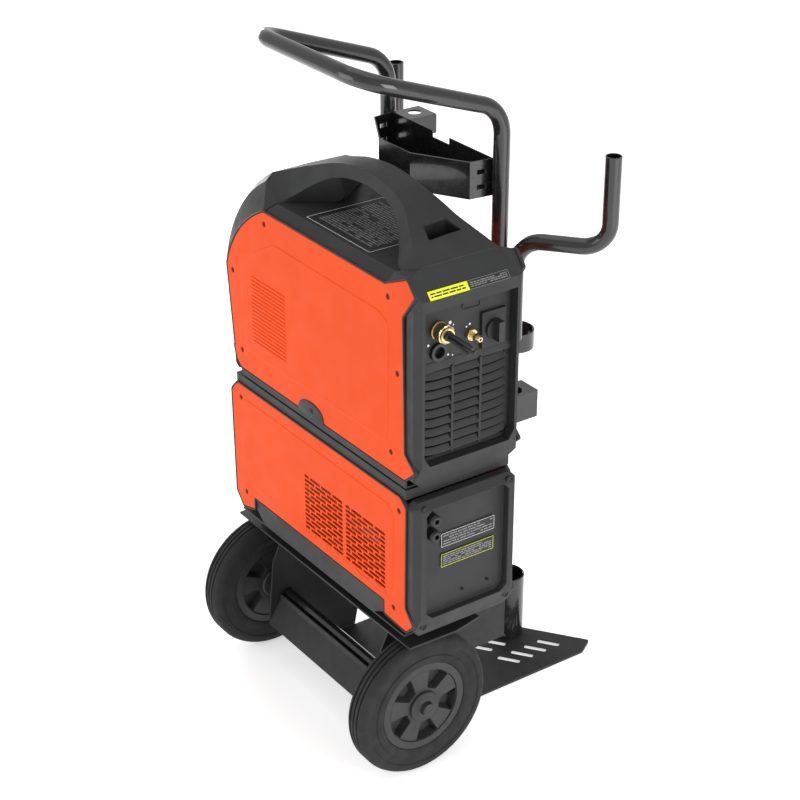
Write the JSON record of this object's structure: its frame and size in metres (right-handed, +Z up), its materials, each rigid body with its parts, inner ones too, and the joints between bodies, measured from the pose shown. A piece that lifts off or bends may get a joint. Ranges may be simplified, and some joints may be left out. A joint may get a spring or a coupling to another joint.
{
  "type": "plasma cutter unit",
  "caption": "Upright metal-cutting power source with orange side sheets, stacked on a coolant unit and carried by a two-wheel trolley with a bottle plate, tool tray and cable hooks.",
  "frame": {"origin": "on the floor, under the middle of the whole unit without its mains lead", "axes": "+X towards the rear of the machines (grille, mains and gas), -Y the side it is pushed from, +Z up"},
  "size_m": [0.6447, 0.582, 1.1659],
  "materials": {
    "frame_black": "gloss black powder coat",
    "housing_grey": "fine-grained moulded dark grey plastic",
    "panel_orange": "semi-gloss orange powder coat on sheet steel",
    "fitting_black": "satin black plastic",
    "brass": "turned brass",
    "steel": "zinc plated steel",
    "alloy": "plain extruded aluminium",
    "tyre": "matt black rubber",
    "rim": "dark grey moulded plastic rim",
    "foot_rubber": "matt black rubber",
    "cable": "flexible cable sheath",
    "window": "dark glossy display window",
    "board": "green circuit board",
    "tank": "translucent natural plastic"
  },
  "bodies": {
    "trolley": {"handle_frame": "frame_black", "shelf": "frame_black", "axle_beam": "frame_black", "toe_plate": "frame_black", "cross_plate": "frame_black", "rod_cup": "frame_black", "rod_ring": "frame_black", "rod_guide": "frame_black", "accessory_tray": "frame_black", "torch_bracket": "frame_black", "axle": "steel", "side_plate_right": "frame_black", "side_plate_left": "frame_black", "cable_hook_right": "frame_black", "cable_hook_left": "frame_black", "cooler_base": "housing_grey", "cooler_top": "housing_grey", "cooler_rear_frame": "housing_grey", "cooler_front_frame": "housing_grey", "cooler_panel_bottle_side": "panel_orange", "cooler_panel_operator_side": "panel_orange", "coolant_tank": "tank", "pump": "steel", "radiator": "alloy", "cooler_fan_frame": "fitting_black", "coolant_coupler_supply": "fitting_black", "coolant_coupler_return": "fitting_black", "foot_rail_rear": "foot_rubber", "foot_rail_front": "foot_rubber", "base_pan": "housing_grey", "front_frame": "housing_grey", "rear_frame": "housing_grey", "top_deck": "housing_grey", "carry_handle": "housing_grey", "side_panel_bottle_side": "panel_orange", "side_panel_operator_side": "panel_orange", "rear_grille": "housing_grey", "isolator_plate": "housing_grey", "cable_gland": "brass", "gland_nut": "brass", "mains_lead": "cable", "gas_inlet": "brass", "signal_socket": "fitting_black", "front_panel": "housing_grey", "display_window": "window", "torch_socket": "brass", "work_socket": "fitting_black", "fan_frame": "fitting_black", "heatsink": "alloy", "inverter_board": "board", "transformer": "steel"},
    "right_wheel": {"tyre_right": "tyre", "rim_right": "rim"},
    "left_wheel": {"tyre_left": "tyre", "rim_left": "rim"},
    "power_fan": {"fan_blades": "fitting_black"},
    "cooler_fan": {"cooler_fan_blades": "fitting_black"},
    "isolator": {"isolator_knob": "fitting_black"},
    "encoder": {"control_knob": "fitting_black"},
    "filler": {"filler_cap": "fitting_black"}
  },
  "joints": [
    {"name": "right_wheel_turn", "type": "hinge", "parent": "trolley", "child": "right_wheel", "pos_m": [0.227, -0.166, 0.125], "axis": [1, 0, 0], "continuous": true},
    {"name": "left_wheel_turn", "type": "hinge", "parent": "trolley", "child": "left_wheel", "pos_m": [-0.227, -0.166, 0.125], "axis": [1, 0, 0], "continuous": true},
    {"name": "power_fan_turn", "type": "hinge", "parent": "trolley", "child": "power_fan", "pos_m": [0.212, -0.111, 0.68], "axis": [1, 0, 0], "continuous": true},
    {"name": "cooler_fan_turn", "type": "hinge", "parent": "trolley", "child": "cooler_fan", "pos_m": [0.166, -0.111, 0.42], "axis": [1, 0, 0], "continuous": true},
    {"name": "isolator_turn", "type": "hinge", "parent": "trolley", "child": "isolator", "pos_m": [0.28, -0.061, 0.781], "axis": [1, 0, 0], "range_deg": [0, 90]},
    {"name": "encoder_turn", "type": "hinge", "parent": "trolley", "child": "encoder", "pos_m": [-0.248, -0.111, 0.7], "axis": [-0.9928, 0, -0.1199], "continuous": true},
    {"name": "filler_cap_turn", "type": "hinge", "parent": "trolley", "child": "filler", "pos_m": [-0.24, -0.121, 0.412], "axis": [-1, 0, 0], "range_deg": [0, 90]}
  ]
}
